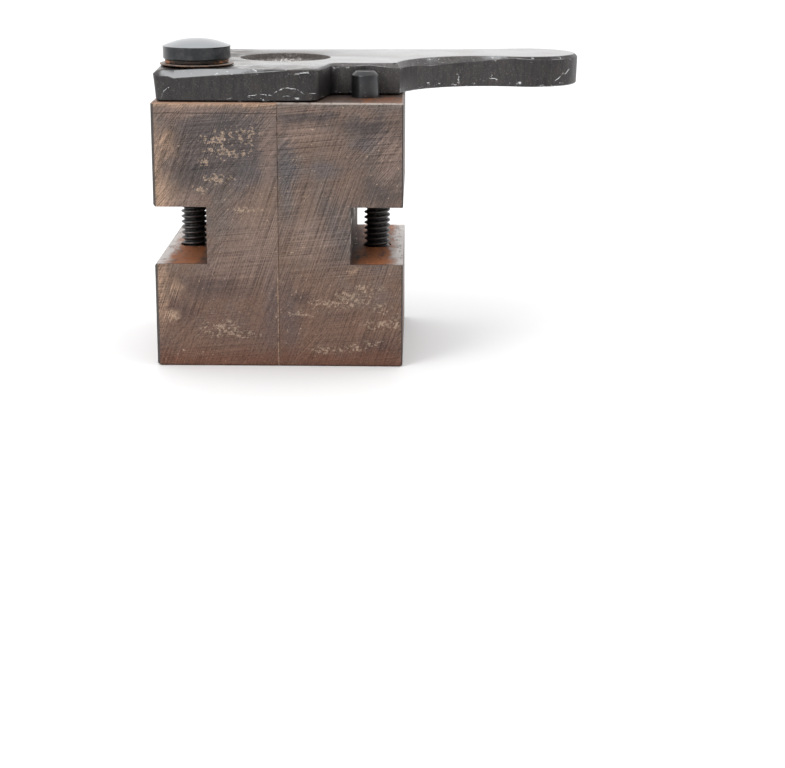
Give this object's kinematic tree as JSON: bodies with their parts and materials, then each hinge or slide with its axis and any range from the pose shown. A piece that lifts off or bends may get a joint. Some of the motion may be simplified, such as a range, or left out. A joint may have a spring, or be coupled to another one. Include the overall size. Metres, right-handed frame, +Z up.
{
  "type": "hand casting mould",
  "caption": "Two-part iron hand casting mould with a slug cavity on the seam and a swinging sprue plate with a thumb handle.",
  "frame": {"origin": "the middle of the bottom face, on the parting plane of the two halves", "axes": "+Z up, +X along the sprue plate's handle and the way the right half opens, -Y to the front, where the pivot screw and the stop pin are"},
  "size_m": [0.0673, 0.0387, 0.0498],
  "materials": {
    "block_iron": "ground, brown patina with light wear",
    "plate_steel": "black blued, glossy on top, matt on the walls",
    "blued_steel": "blued, satin",
    "rusty_steel": "light brown rust",
    "black_oxide_screw": "black oxide, dull",
    "ground_steel": "ground, bright"
  },
  "bodies": {
    "left_half": {"left_block": "block_iron", "pivot_screw": "blued_steel", "flat_washer": "rusty_steel", "spring_washer": "rusty_steel", "pivot_lock_screw": "blued_steel", "left_handle_screw": "black_oxide_screw", "front_guide_pin": "ground_steel", "rear_guide_pin": "ground_steel"},
    "right_half": {"right_block": "block_iron", "stop_pin": "blued_steel", "right_handle_screw": "black_oxide_screw"},
    "sprue_plate": {"sprue_plate": "plate_steel"}
  },
  "joints": [
    {"name": "sprue_plate_swing", "type": "hinge", "parent": "left_half", "child": "sprue_plate", "pos_m": [-0.01265, -0.0103, 0.0433], "axis": [0, 0, 1], "range_deg": [0, 253]},
    {"name": "mould_open", "type": "slide", "parent": "left_half", "child": "right_half", "axis": [1, 0, 0], "range_m": [0, 0.02]}
  ]
}
